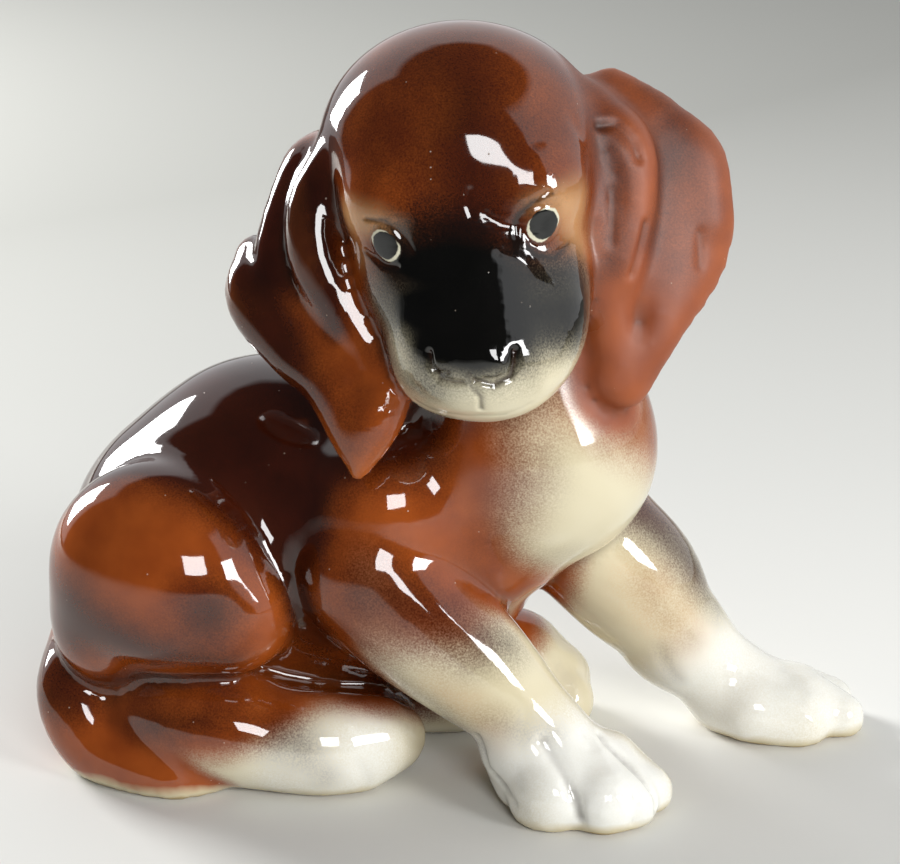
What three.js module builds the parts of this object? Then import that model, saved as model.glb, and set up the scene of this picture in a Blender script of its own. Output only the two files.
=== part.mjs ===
// A seated puppy with long folded ears, cast in one piece with no base.
// Millimetres, +Z up, table at Z = 0. The face looks to -Y, the chest and the far paw reach to +X.
// The body is a set of soft masses set out like bones and muscles: each entry is
// [x, y, z, radius], and neighbouring masses flow together over a stated blend length.
import * as THREE from 'three';

// Sizes of the whole casting
const CELL = 4.55;             // spacing of the grid the skin is found on
const REACH = { low: [-98, -54, -7.1], high: [102, 62, 170] }; // box searched for the skin
const FOOTPRINT_MIDDLE = [1.1, 3]; // middle of the footprint, which becomes the origin
const FEEL = 1.2;              // distance over which the skin's slope is felt
const LEAST_SLOPE = 0.4;       // flatter than this, the slope isn't trusted
const LONGEST_SLIDE = 0.4;     // furthest a mesh corner slides at once, in grid cells
const EVENING_ROUNDS = 3;      // how often the facets are evened out
const BASE_EDGE = 0.6;         // rounding where the skin meets the ground-flat underside

// Trunk
const BACK = [[-54, 18, 42.5, 29.5], [-38.5, 17, 50.5, 31.5], [-12, 12.5, 48.5, 33]];
const CHEST = { centre: [17, 0, 69.5], half: [26, 24, 23.5] };
const BREASTBONE = [[-4.5, 0, 50.5, 20], [12.5, -2, 52.5, 12.5]];
const BELLY = [[-34, 8, 17, 17], [0, 14, 14, 13]];
const SEAT = { centre: [-52, 18, 21], half: [26, 23, 23] };
const NECK = [[17, 2, 77, 24], [5, 2, 114.5, 21]];

// Hind legs: the near one folded at the side, the far one tucked under with its foot forward
const THIGH = { centre: [-61, -8, 48.5], half: [23.5, 20, 22] };
const HOCK = { centre: [-73, -2, 34.5], half: [12.5, 16, 16] };
const KNEE = [[-53.5, -10, 45.5, 19], [-46, -14, 41, 14]];
const HIND_FOOT = [[-65, -4, 12, 11], [-51.5, -12, 13.5, 13], [-38.5, -14.5, 11, 11.5],
  [-26.5, -15.5, 10, 11], [-16.5, -13, 10.5, 8.5]];
const HIND_TOES = [
  [[-25, -16, 9.5, 9], [-19.5, -16.5, 6.5, 6.5]],
  [[-17, -13, 9, 8.5], [-12.5, -10.5, 8, 6.5]],
  [[-18.5, -7.5, 9, 8], [-11.5, -8.5, 9, 6]],
];
const FAR_THIGH = { centre: [-36, 36, 27], half: [29, 17, 26] };
const FAR_HIND_FOOT = [[-14, 17, 11, 11.5], [13, 19.5, 11.5, 14]];
const FAR_HIND_TOES = [
  [[13, 15, 9, 8], [24.5, 13, 7, 7.5]],
  [[15, 20, 10, 8], [24, 19.5, 9.5, 7.5]],
  [[12, 24, 9, 7], [22, 26.5, 6.5, 6]],
];
const TAIL = [[-78.5, 8, 22.5, 9.5], [-80.5, -3, 15.5, 9], [-74.5, -8, 6.5, 9], [-60, -15.5, 3, 8],
  [-52.5, -17, 2.5, 4.5]];

// Front legs: shoulder to wrist, then palm and toes from knuckle to tip
const SHOULDER = [-14, -9, 62, 16];
const NEAR_ARM = [[-16, -12, 49, 17], [-6, -16, 39, 15], [7.5, -20, 27.5, 12], [19, -22, 16.5, 8.5]];
const NEAR_PALM = [[17.5, -22, 13.5, 11.5], [25.5, -25.5, 8, 10.5]];
const NEAR_TOES = [
  [[12.5, -13, 6.5, 6], [14.5, -25, 4, 4.5]],
  [[21, -22, 9, 7], [21.5, -30.5, 5.5, 9.5]],
  [[27.5, -21, 9.5, 7], [32, -33.5, 5.5, 8]],
  [[33.5, -21, 8.5, 6.5], [37.5, -32.5, 4.5, 6]],
  [[34.5, -16, 6.5, 5.5], [41.5, -26, 4, 5.5]],
];
const FAR_ARM = [[32, 16, 43.5, 15.5], [40, 16, 35, 15], [46, 16, 27, 12.5], [50, 15.5, 21.5, 12],
  [56.5, 15, 15.5, 10], [63, 15, 9, 10]];
const FAR_PALM = [[63, 15, 8.5, 9.5], [76, 15, 5.5, 8]];
const FAR_TOES = [
  [[67, 8, 7, 7.5], [76.5, 9, 4.5, 8]],
  [[77.5, 14, 7.5, 6.5], [86.5, 11.5, 3.5, 5.5]],
  [[76, 20, 6.5, 6], [85, 20, 3.5, 5.5]],
  [[69, 22, 6.5, 5.5], [78, 25.5, 4.5, 5]],
];

// Head
const SKULL = { centre: [2.5, -3, 138], half: [29, 28, 25] };
const FACE = { centre: [4.5, -14, 117], half: [24.5, 24, 19] };
const MUZZLE = { centre: [7, -29.5, 105], half: [18, 18, 15], lean: 20 };
const CHOPS = [[-1, -28, 100, 9.5], [15.5, -28, 109, 11]];
const BROWS = [[-9.5, -20, 131, 11.5], [15, -20, 134, 12]];

// Ears. The one on the -X side falls in three rolls that meet on the shoulder; the one on the
// +X side is a broad strap, [x, y, z, half width, half thickness], with rolls along it.
const FOLDED_EAR = [
  [[-39.5, 0, 113, 5], [-39.5, -6, 106, 6.5], [-32, -14, 97.5, 5.5], [-24.5, -20, 92.5, 5.5],
    [-19.5, -26, 81.5, 3.5]],
  [[-26.5, 4, 133.5, 5.5], [-29, -1, 130, 6.5], [-34.5, -7, 112.5, 6], [-27, -14, 103, 6],
    [-21.5, -20, 94.5, 6], [-19, -25, 84.5, 4.5]],
  [[-19.5, -6, 139, 6], [-26.5, -11, 128.5, 6], [-26.5, -15, 117.5, 6], [-20, -18.5, 105.5, 5.5],
    [-13.5, -22, 94.5, 5.5], [-15, -26, 87, 5.5], [-18.5, -28, 77, 2]],
];
const BROAD_EAR_ROLLS = [
  [[26, -6, 140, 6], [28.5, -12, 134, 5], [30, -15, 124, 4.5], [31, -16, 114, 4.5], [33, -15, 103, 5],
    [35, -15, 93, 5]],
  [[27, -3, 143, 8], [34.5, -9, 138.5, 6.5], [36.5, -13, 129, 5], [34.5, -16, 116.5, 4.5],
    [35, -13.5, 106, 3]],
];
const BROAD_EAR = [[28, 4, 143, 11.5, 6], [37, -2, 135.5, 13.5, 6], [44.5, -8, 118.5, 14, 5.5],
  [42.5, -13, 103, 5.5, 5.5], [34.5, -15, 91.5, 6.5, 5]];
const BROAD_EAR_FACES = [0.35, -0.9, 0.15];
const BROAD_EAR_RIM = [[42, 3, 141, 5], [50, 0, 134.5, 6], [52, -4, 123, 5.5]];
const EAR_BACKINGS = [                  // the ears are cast against the neck, with no gap behind
  [[-25, 0, 122, 9], [-24, -5, 106, 10], [-17, -10, 92, 12]],
  [[30, 1, 126, 8], [29, -5, 108, 9], [28, -8, 97, 8]],
];
const CURVE_STEPS = 14;        // straight lengths that one curved roll is followed in
const STEEPEST = 0.9;          // of a taper, as the sine of its angle

// Blend lengths: how far apart two masses start to flow together
const BLEND = {
  back: 18, chest: 14, breast: 8, within: 6, seat: 8, neck: 12, hock: 10, knee: 8, thigh: 12,
  thighCrease: 5, foot: 6, farThigh: 10, farFoot: 6, tail: 4, toe: 1, toes: 3, toesToPaw: 5,
  shoulder: 14, wrist: 5, armpit: 3.5, farShoulder: 6, face: 12, chops: 8, chopsPair: 4,
  brows: 8, browsPair: 3, head: 6, earRolls: 4, broadEarRolls: 3, earRim: 5, ear: 4.5,
};

// Two masses flowing together over length k
const join = (a, b, k) => {
  const near = Math.max(k - Math.abs(a - b), 0) / k;
  return Math.min(a, b) - near * near * near * k / 6;
};
const joinAll = (values, k) => values.reduce((a, b) => join(a, b, k));

const dot = (a, b) => a[0] * b[0] + a[1] * b[1] + a[2] * b[2];
const minus = (a, b) => [a[0] - b[0], a[1] - b[1], a[2] - b[2]];

const ball = (p, [x, y, z, r]) => Math.hypot(p[0] - x, p[1] - y, p[2] - z) - r;

// Egg-shaped mass; lean tips it forward about X, in degrees
const egg = (p, { centre, half, lean = 0 }) => {
  let [x, y, z] = minus(p, centre);
  const c = Math.cos(lean * Math.PI / 180);
  const s = Math.sin(lean * Math.PI / 180);
  [y, z] = [c * y + s * z, c * z - s * y];
  const scaled = Math.hypot(x / half[0], y / half[1], z / half[2]);
  const slope = Math.hypot(x / half[0] ** 2, y / half[1] ** 2, z / half[2] ** 2);
  return scaled * (scaled - 1) / Math.max(slope, 1e-9);
};

// Round length between two points, tapering from one radius to the other
const length = (p, a, b) => {
  const along = minus(b, a);
  const from = minus(p, a);
  const span = Math.hypot(...along);
  const forward = dot(from, along) / span;
  const aside = Math.sqrt(Math.max(dot(from, from) - forward ** 2, 0));
  const lean = Math.min(STEEPEST, Math.max(-STEEPEST, (a[3] - b[3]) / span));
  const nearest = (forward - aside * lean / Math.sqrt(1 - lean ** 2)) / span;
  const t = Math.min(1, Math.max(0, nearest));
  return Math.hypot(...from.map((v, i) => v - t * along[i])) - (a[3] + (b[3] - a[3]) * t);
};
const chain = (p, points, k) => {
  const lengths = points.slice(1).map((b, i) => length(p, points[i], b));
  return joinAll(lengths, k);
};

// Smooth curve through the listed points, sizes carried along with it
const curve = (points) => {
  const spans = points.length - 1;
  const last = points[spans];
  const before = points[0].map((v, i) => 2 * v - points[1][i]);
  const after = last.map((v, i) => 2 * v - points[spans - 1][i]);
  const all = [before, ...points, after];
  const out = [];
  for (let n = 0; n <= CURVE_STEPS; n++) {
    const s = n / CURVE_STEPS * spans;
    const j = Math.min(Math.floor(s), spans - 1);
    const t = s - j;
    const [a, b, c, d] = all.slice(j, j + 4);
    out.push(b.map((v, i) => 0.5 * (2 * v + (c[i] - a[i]) * t
      + (2 * a[i] - 5 * v + 4 * c[i] - d[i]) * t ** 2
      + (3 * v - a[i] - 3 * c[i] + d[i]) * t ** 3)));
  }
  return out;
};
const roll = (p, followed) => {
  let nearest = Infinity;
  for (let i = 1; i < followed.length; i++) {
    nearest = Math.min(nearest, length(p, followed[i - 1], followed[i]));
  }
  return nearest;
};

// Flat strap: oval across, wide along the ear and thin the way it faces
const strap = (p, followed, faces) => {
  let nearest = Infinity;
  for (let i = 1; i < followed.length; i++) {
    const [a, b] = [followed[i - 1], followed[i]];
    const along = new THREE.Vector3(...minus(b, a));
    const span = along.length();
    along.divideScalar(span);
    const thin = new THREE.Vector3(...faces);
    thin.addScaledVector(along, -thin.dot(along)).normalize();
    const wide = new THREE.Vector3().crossVectors(along, thin);
    const from = new THREE.Vector3(...minus(p, a));
    const t = Math.min(1, Math.max(0, from.dot(along) / span));
    from.addScaledVector(along, -t * span);
    const halfWide = a[3] + (b[3] - a[3]) * t;
    const halfThin = a[4] + (b[4] - a[4]) * t;
    const [u, v, w] = [from.dot(along), from.dot(wide), from.dot(thin)];
    const scaled = Math.hypot(u / halfThin, v / halfWide, w / halfThin);
    const slope = Math.hypot(u / halfThin ** 2, v / halfWide ** 2, w / halfThin ** 2);
    nearest = Math.min(nearest, scaled * (scaled - 1) / Math.max(slope, 1e-9));
  }
  return nearest;
};

const tail = curve(TAIL);
const nearArm = curve(NEAR_ARM);
const farArm = curve(FAR_ARM);
const foldedEar = FOLDED_EAR.map(curve);
const broadEarRolls = BROAD_EAR_ROLLS.map(curve);
const broadEar = curve(BROAD_EAR);
const broadEarRim = curve(BROAD_EAR_RIM);

const hindSole = curve(HIND_FOOT);
const farHindSole = curve(FAR_HIND_FOOT);
const nearPalm = curve(NEAR_PALM);
const farPalm = curve(FAR_PALM);

// A sole or palm with its toes
const foot = (p, sole, toes) => {
  const spread = joinAll(toes.map((toe) => chain(p, toe, BLEND.toe)), BLEND.toes);
  return join(roll(p, sole), spread, BLEND.toesToPaw);
};

// Signed distance to the puppy's skin: below zero inside
const puppy = (p) => {
  let d = join(chain(p, BACK, BLEND.back), egg(p, CHEST), BLEND.chest);
  d = join(d, chain(p, BREASTBONE, BLEND.within), BLEND.breast);
  d = join(d, chain(p, BELLY, BLEND.within), BLEND.seat);
  d = join(d, egg(p, SEAT), BLEND.seat);
  d = join(d, chain(p, NECK, BLEND.within), BLEND.neck);
  d = join(d, ball(p, SHOULDER), BLEND.shoulder);
  const hock = join(egg(p, THIGH), egg(p, HOCK), BLEND.hock);
  const haunch = join(hock, chain(p, KNEE, BLEND.knee), BLEND.thigh);
  d = join(d, haunch, BLEND.thighCrease);
  d = join(d, foot(p, hindSole, HIND_TOES), BLEND.foot);
  d = join(d, egg(p, FAR_THIGH), BLEND.farThigh);
  d = join(d, foot(p, farHindSole, FAR_HIND_TOES), BLEND.farFoot);
  d = join(d, roll(p, tail), BLEND.tail);
  const nearPaw = foot(p, nearPalm, NEAR_TOES);
  d = join(d, join(roll(p, nearArm), nearPaw, BLEND.wrist), BLEND.armpit);
  const farPaw = foot(p, farPalm, FAR_TOES);
  d = join(d, join(roll(p, farArm), farPaw, BLEND.wrist), BLEND.farShoulder);
  const chops = joinAll(CHOPS.map((mass) => ball(p, mass)), BLEND.chopsPair);
  const snout = join(egg(p, MUZZLE), chops, BLEND.chops);
  const brows = joinAll(BROWS.map((mass) => ball(p, mass)), BLEND.browsPair);
  let head = join(join(egg(p, SKULL), egg(p, FACE), BLEND.face), snout, BLEND.face);
  head = join(head, brows, BLEND.brows);
  d = join(d, head, BLEND.head);
  for (const mass of EAR_BACKINGS) d = join(d, chain(p, mass, BLEND.within), BLEND.head);
  d = join(d, joinAll(foldedEar.map((r) => roll(p, r)), BLEND.earRolls), BLEND.ear);
  let ear = joinAll(broadEarRolls.map((r) => roll(p, r)), BLEND.broadEarRolls);
  ear = join(ear, strap(p, broadEar, BROAD_EAR_FACES), BLEND.ear);
  ear = join(ear, roll(p, broadEarRim), BLEND.earRim);
  d = join(d, ear, BLEND.ear);
  return -join(-d, p[2], BASE_EDGE); // cut off flat at the table
};

// The skin is found on a grid of cubes: each cube the skin passes through gets one corner of the
// mesh per sheet of skin in it, and each grid edge that the skin crosses gets one facet.
const CORNERS = [0, 1, 2, 3, 4, 5, 6, 7].map((n) => [n & 1, n >> 1 & 1, n >> 2]);
const EDGES = CORNERS.flatMap((a, n) => [0, 1, 2].filter((axis) => a[axis] === 0)
  .map((axis) => ({ from: n, to: n + (1 << axis), axis })));
const SIDES = [0, 1, 2].flatMap((axis) => [0, 1].map((side) => EDGES.map((e, i) => i)
  .filter((i) => CORNERS[EDGES[i].from][axis] === side && CORNERS[EDGES[i].to][axis] === side)));

const skin = (field, { low, high }, cell) => {
  const count = low.map((v, i) => Math.ceil((high[i] - v) / cell) + 1);
  const place = (i, j, k) => i + count[0] * (j + count[1] * k);
  const value = new Float64Array(count[0] * count[1] * count[2]);
  for (let k = 0; k < count[2]; k++) {
    for (let j = 0; j < count[1]; j++) {
      for (let i = 0; i < count[0]; i++) {
        value[place(i, j, k)] = field([low[0] + i * cell, low[1] + j * cell, low[2] + k * cell]);
      }
    }
  }
  const points = [];
  const meshCorner = new Map(); // cube number * 12 + edge number -> mesh corner
  for (let k = 0; k < count[2] - 1; k++) {
    for (let j = 0; j < count[1] - 1; j++) {
      for (let i = 0; i < count[0] - 1; i++) {
        const at = CORNERS.map(([a, b, c]) => value[place(i + a, j + b, k + c)]);
        const crossed = EDGES.map((e) => (at[e.from] < 0) !== (at[e.to] < 0));
        if (!crossed.includes(true)) continue;
        // edges crossed by the same sheet of skin, linked through the cube's sides
        const sheet = EDGES.map((e, n) => n);
        const head = (n) => (sheet[n] === n ? n : head(sheet[n]));
        for (const side of SIDES) {
          const cut = side.filter((n) => crossed[n]);
          for (const m of cut) {
            for (const n of cut) {
              const inside = (e) => (at[EDGES[e].from] < 0 ? EDGES[e].from : EDGES[e].to);
              if (cut.length === 2 || inside(m) === inside(n)) sheet[head(m)] = head(n);
            }
          }
        }
        for (const top of EDGES.map((e, n) => n).filter((n) => crossed[n] && head(n) === n)) {
          const sum = [0, 0, 0];
          const mine = EDGES.map((e, n) => n).filter((n) => crossed[n] && head(n) === top);
          for (const n of mine) {
            const { from, to } = EDGES[n];
            const t = at[from] / (at[from] - at[to]);
            CORNERS[from].forEach((v, axis) => {
              sum[axis] += (v + (CORNERS[to][axis] - v) * t) / mine.length;
            });
            meshCorner.set(place(i, j, k) * 12 + n, points.length);
          }
          points.push([low[0] + (i + sum[0]) * cell, low[1] + (j + sum[1]) * cell,
            low[2] + (k + sum[2]) * cell]);
        }
      }
    }
  }
  const quads = [];
  for (let k = 1; k < count[2] - 1; k++) {
    for (let j = 1; j < count[1] - 1; j++) {
      for (let i = 1; i < count[0] - 1; i++) {
        for (let axis = 0; axis < 3; axis++) {
          const step = [0, 0, 0];
          step[axis] = 1;
          const here = value[place(i, j, k)] < 0;
          const there = value[place(i + step[0], j + step[1], k + step[2])] < 0;
          if (here === there) continue;
          const [u, v] = [(axis + 1) % 3, (axis + 2) % 3];
          const quad = [[1, 1], [0, 1], [0, 0], [1, 0]].map(([du, dv]) => {
            const cube = [i, j, k];
            cube[u] -= du;
            cube[v] -= dv;
            const from = (du << u) + (dv << v);
            const edge = EDGES.findIndex((e) => e.from === from && e.axis === axis);
            return meshCorner.get(place(...cube) * 12 + edge);
          });
          quads.push(here ? quad : quad.reverse());
        }
      }
    }
  }
  return { points, quads };
};

// Slides each mesh corner straight onto the skin. The slope is taken over FEEL either side, so
// that a corner in a crease goes down the middle of it.
const settle = (field, points, cell, rounds) => {
  for (const p of points) {
    for (let round = 0; round < rounds; round++) {
      const slope = [0, 1, 2].map((axis) => {
        const [up, down] = [[...p], [...p]];
        up[axis] += FEEL;
        down[axis] -= FEEL;
        return (field(up) - field(down)) / (2 * FEEL);
      });
      const step = field(p) / Math.max(dot(slope, slope), LEAST_SLOPE);
      const slide = Math.max(Math.abs(step) * Math.hypot(...slope), 1e-9);
      const part = Math.min(1, LONGEST_SLIDE * cell / slide);
      p.forEach((v, axis) => {
        p[axis] = v - step * part * slope[axis];
      });
    }
  }
};

// Moves each mesh corner halfway to the middle of its neighbours, which evens the facets
const even = (points, quads) => {
  const sums = points.map(() => [0, 0, 0, 0]);
  for (const quad of quads) {
    quad.forEach((n, side) => {
      const next = points[quad[(side + 1) % 4]];
      sums[n] = sums[n].map((v, axis) => v + (axis < 3 ? next[axis] : 1));
    });
  }
  points.forEach((p, n) => {
    p.forEach((v, axis) => {
      p[axis] = (v + sums[n][axis] / sums[n][3]) / 2;
    });
  });
};

const build = () => {
  const { points, quads } = skin(puppy, REACH, CELL);
  settle(puppy, points, CELL, 2);
  for (let round = 0; round < EVENING_ROUNDS; round++) {
    even(points, quads);
    settle(puppy, points, CELL, 1);
  }
  settle(puppy, points, CELL, 2);
  const position = new Float32Array(points.length * 3);
  points.forEach(([x, y, z], n) => {
    const flat = Math.abs(z) < 0.02 ? 0 : z; // the underside lies exactly on the table
    position.set([x - FOOTPRINT_MIDDLE[0], y - FOOTPRINT_MIDDLE[1], flat], n * 3);
  });
  // each four-sided facet is folded along the diagonal that lies closer to the skin
  const offSkin = (a, b) => Math.abs(puppy(points[a].map((v, axis) => (v + points[b][axis]) / 2)));
  const index = [];
  for (const [a, b, c, d] of quads) {
    if (offSkin(a, c) < offSkin(b, d)) index.push(a, b, c, a, c, d);
    else index.push(a, b, d, b, c, d);
  }
  const geometry = new THREE.BufferGeometry();
  geometry.setAttribute('position', new THREE.BufferAttribute(position, 3));
  geometry.setIndex(index);
  geometry.computeVertexNormals();
  const glaze = new THREE.MeshStandardMaterial({ color: 0x7a3418, roughness: 0.08, metalness: 0 });
  const mesh = new THREE.Mesh(geometry, glaze);
  mesh.name = 'puppy';
  return mesh;
};

const part = new THREE.Group();
part.name = 'puppy_figurine';
part.add(build());
export default part;
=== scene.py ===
"""A seated puppy with long folded ears: slip-cast earthenware, sprayed colours, clear gloss glaze."""
import math

import bmesh
import bpy
import mathutils
import numpy as np
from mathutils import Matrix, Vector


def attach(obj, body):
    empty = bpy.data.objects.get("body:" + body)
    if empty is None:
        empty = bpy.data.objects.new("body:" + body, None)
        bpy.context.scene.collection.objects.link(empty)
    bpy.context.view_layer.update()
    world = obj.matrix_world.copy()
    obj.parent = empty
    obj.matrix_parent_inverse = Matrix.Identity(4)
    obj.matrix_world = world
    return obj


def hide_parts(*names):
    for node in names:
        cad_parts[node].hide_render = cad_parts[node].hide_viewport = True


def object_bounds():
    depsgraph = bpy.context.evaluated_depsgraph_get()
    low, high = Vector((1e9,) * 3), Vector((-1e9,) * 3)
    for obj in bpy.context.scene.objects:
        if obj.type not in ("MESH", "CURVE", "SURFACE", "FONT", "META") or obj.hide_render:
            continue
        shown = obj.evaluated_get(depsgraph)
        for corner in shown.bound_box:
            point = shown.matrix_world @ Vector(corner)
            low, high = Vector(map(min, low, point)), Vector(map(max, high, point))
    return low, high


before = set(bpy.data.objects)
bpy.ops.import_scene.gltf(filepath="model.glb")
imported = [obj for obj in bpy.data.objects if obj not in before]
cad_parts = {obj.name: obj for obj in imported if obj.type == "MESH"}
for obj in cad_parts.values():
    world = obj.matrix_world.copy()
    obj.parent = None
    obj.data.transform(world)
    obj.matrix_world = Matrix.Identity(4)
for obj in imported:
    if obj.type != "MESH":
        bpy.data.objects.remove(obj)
cad_low, cad_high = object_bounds()


# Puppy
# The whole animal is one hollow casting in white earthenware, fettled by hand, fired, sprayed
# with brown, black and cream underglaze colours and then glazed clear and glossy all over.
# Sizes of the casting, in millimetres; a mass is [x, y, z, radius], and masses flow together.
CELL = 1.4                       # grid the skin is found on
REACH = ((-98, -54, -4.2), (102, 62, 170))
FOOTPRINT_MIDDLE = np.array([1.1, 3.0, 0.0])
BASE_EDGE = 0.6                  # rounding where the skin meets the ground-flat underside
GROUND = 0.02                    # a corner this near the ground lies on it
SETTLE_FEEL = 0.4                # how far round a corner the slope of the skin is felt
LEAST_SLOPE = 0.4                # flatter than this, the slope isn't trusted
LONGEST_SLIDE = 0.4              # furthest a corner slides at once, in grid cells
EVENING_ROUNDS = 3               # how often the facets are evened out
FAIRING_ROUNDS = 8               # and how often the skin is smoothed after that
BLEND_ROOM = 14                  # kept free round a mass for its blends
# Boxes in which the facets are halved, one after the other: head and broad ear, face, near paw
FINE = [((-24, -60, 86), (56, -8, 150)), ((-24, -60, 86), (30, -26, 140)), ((4, -60, -1), (48, -22, 24))]

BACK = [[-54, 18, 42.5, 29.5], [-38.5, 17, 50.5, 31.5], [-12, 12.5, 48.5, 33]]
CHEST = dict(centre=[17, 0, 69.5], half=[26, 24, 23.5])
BREASTBONE = [[-4.5, 0, 50.5, 20], [12.5, -2, 52.5, 12.5]]
BELLY = [[-34, 8, 17, 17], [0, 14, 14, 13]]
SEAT = dict(centre=[-52, 18, 21], half=[26, 23, 23])
NECK = [[17, 2, 77, 24], [5, 2, 114.5, 21]]

THIGH = dict(centre=[-61, -8, 48.5], half=[23.5, 20, 22])
HOCK = dict(centre=[-73, -2, 34.5], half=[12.5, 16, 16])
KNEE = [[-53.5, -10, 45.5, 19], [-46, -14, 41, 14]]
HIND_FOOT = [[-65, -4, 12, 11], [-51.5, -12, 13.5, 13], [-38.5, -14.5, 11, 11.5],
             [-26.5, -15.5, 10, 11], [-16.5, -13, 10.5, 8.5]]
HIND_TOES = [
    [[-25, -16, 9.5, 9], [-19.5, -16.5, 6.5, 6.5]],
    [[-17, -13, 9, 8.5], [-12.5, -10.5, 8, 6.5]],
    [[-18.5, -7.5, 9, 8], [-11.5, -8.5, 9, 6]]]
FAR_THIGH = dict(centre=[-36, 36, 27], half=[29, 17, 26])
FAR_HIND_FOOT = [[-14, 17, 11, 11.5], [13, 19.5, 11.5, 14]]
FAR_HIND_TOES = [
    [[13, 15, 9, 8], [24.5, 13, 7, 7.5]],
    [[15, 20, 10, 8], [24, 19.5, 9.5, 7.5]],
    [[12, 24, 9, 7], [22, 26.5, 6.5, 6]]]
TAIL = [[-78.5, 8, 22.5, 9.5], [-80.5, -3, 15.5, 9], [-74.5, -8, 6.5, 9], [-60, -15.5, 3, 8],
        [-52.5, -17, 2.5, 4.5]]

SHOULDER = [-14, -9, 62, 16]
NEAR_ARM = [[-16, -12, 49, 17], [-6, -16, 39, 15], [7.5, -20, 27.5, 12], [19, -22, 16.5, 8.5]]
NEAR_PALM = [[17.5, -22, 13.5, 11.5], [25.5, -25.5, 8, 10.5]]
NEAR_TOES = [
    [[12.5, -13, 6.5, 6], [14.5, -25, 4, 4.5]],
    [[21, -22, 9, 7], [21.5, -30.5, 5.5, 9.5]],
    [[27.5, -21, 9.5, 7], [32, -33.5, 5.5, 8]],
    [[33.5, -21, 8.5, 6.5], [37.5, -32.5, 4.5, 6]],
    [[34.5, -16, 6.5, 5.5], [41.5, -26, 4, 5.5]]]
FAR_ARM = [[32, 16, 43.5, 15.5], [40, 16, 35, 15], [46, 16, 27, 12.5], [50, 15.5, 21.5, 12],
           [56.5, 15, 15.5, 10], [63, 15, 9, 10]]
FAR_PALM = [[63, 15, 8.5, 9.5], [76, 15, 5.5, 8]]
FAR_TOES = [
    [[67, 8, 7, 7.5], [76.5, 9, 4.5, 8]],
    [[77.5, 14, 7.5, 6.5], [86.5, 11.5, 3.5, 5.5]],
    [[76, 20, 6.5, 6], [85, 20, 3.5, 5.5]],
    [[69, 22, 6.5, 5.5], [78, 25.5, 4.5, 5]]]

SKULL = dict(centre=[2.5, -3, 138], half=[29, 28, 25])
FACE = dict(centre=[4.5, -14, 117], half=[24.5, 24, 19])
MUZZLE = dict(centre=[7, -29.5, 105], half=[18, 18, 15], lean=20)
CHOPS = [[-1, -28, 100, 9.5], [15.5, -28, 109, 11]]
BROWS = [[-9.5, -20, 131, 11.5], [15, -20, 134, 12]]

# One ear falls in three rolls that meet on the shoulder; the other is a broad strap,
# [x, y, z, half width, half thickness], with rolls along it
FOLDED_EAR = [
    [[-39.5, 0, 113, 5], [-39.5, -6, 106, 6.5], [-32, -14, 97.5, 5.5], [-24.5, -20, 92.5, 5.5],
     [-19.5, -26, 81.5, 3.5]],
    [[-26.5, 4, 133.5, 5.5], [-29, -1, 130, 6.5], [-34.5, -7, 112.5, 6], [-27, -14, 103, 6],
     [-21.5, -20, 94.5, 6], [-19, -25, 84.5, 4.5]],
    [[-19.5, -6, 139, 6], [-26.5, -11, 128.5, 6], [-26.5, -15, 117.5, 6],
     [-20, -18.5, 105.5, 5.5], [-13.5, -22, 94.5, 5.5], [-15, -26, 87, 5.5], [-18.5, -28, 77, 2]]]
BROAD_EAR_ROLLS = [
    [[26, -6, 140, 6], [28.5, -12, 134, 5], [30, -15, 124, 4.5], [31, -16, 114, 4.5],
     [33, -15, 103, 5], [35, -15, 93, 5]],
    [[27, -3, 143, 8], [34.5, -9, 138.5, 6.5], [36.5, -13, 129, 5], [34.5, -16, 116.5, 4.5],
     [35, -13.5, 106, 3]]]
BROAD_EAR = [[28, 4, 143, 11.5, 6], [37, -2, 135.5, 13.5, 6], [44.5, -8, 118.5, 14, 5.5],
             [42.5, -13, 103, 5.5, 5.5], [34.5, -15, 91.5, 6.5, 5]]
BROAD_EAR_FACES = [0.35, -0.9, 0.15]
BROAD_EAR_RIM = [[42, 3, 141, 5], [50, 0, 134.5, 6], [52, -4, 123, 5.5]]
EAR_BACKINGS = [[[-25, 0, 122, 9], [-24, -5, 106, 10], [-17, -10, 92, 12]],
                [[30, 1, 126, 8], [29, -5, 108, 9], [28, -8, 97, 8]]]
CURVE_STEPS = 20                 # straight lengths that one curved roll is followed in
STEEPEST = 0.9                   # of a taper, as the sine of its angle
FAR = 99.0                       # stands for out of reach
TOE_GAP = 3.0                    # how softly neighbouring toes meet
ARMPIT = 3.5                     # how sharply the near arm meets the chest


def join(a, b, k):
    """Two masses flowing together over k mm."""
    near = np.maximum(k - np.abs(a - b), 0) / k
    return np.minimum(a, b) - near ** 3 * k / 6


def join_all(values, k):
    made = values[0]
    for value in values[1:]:
        made = join(made, value, k)
    return made


def egg(at, centre, half, lean=0):
    """Egg-shaped mass, tipped forward by lean degrees."""
    x, y, z = (at - centre).T
    c, s = math.cos(math.radians(lean)), math.sin(math.radians(lean))
    q = np.stack([x, c * y + s * z, c * z - s * y], 1) / half
    scaled = np.linalg.norm(q, axis=1)
    return scaled * (scaled - 1) / np.maximum(np.linalg.norm(q / half, axis=1), 1e-9)


def ball(at, mass):
    return np.linalg.norm(at - mass[:3], axis=1) - mass[3]


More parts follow.
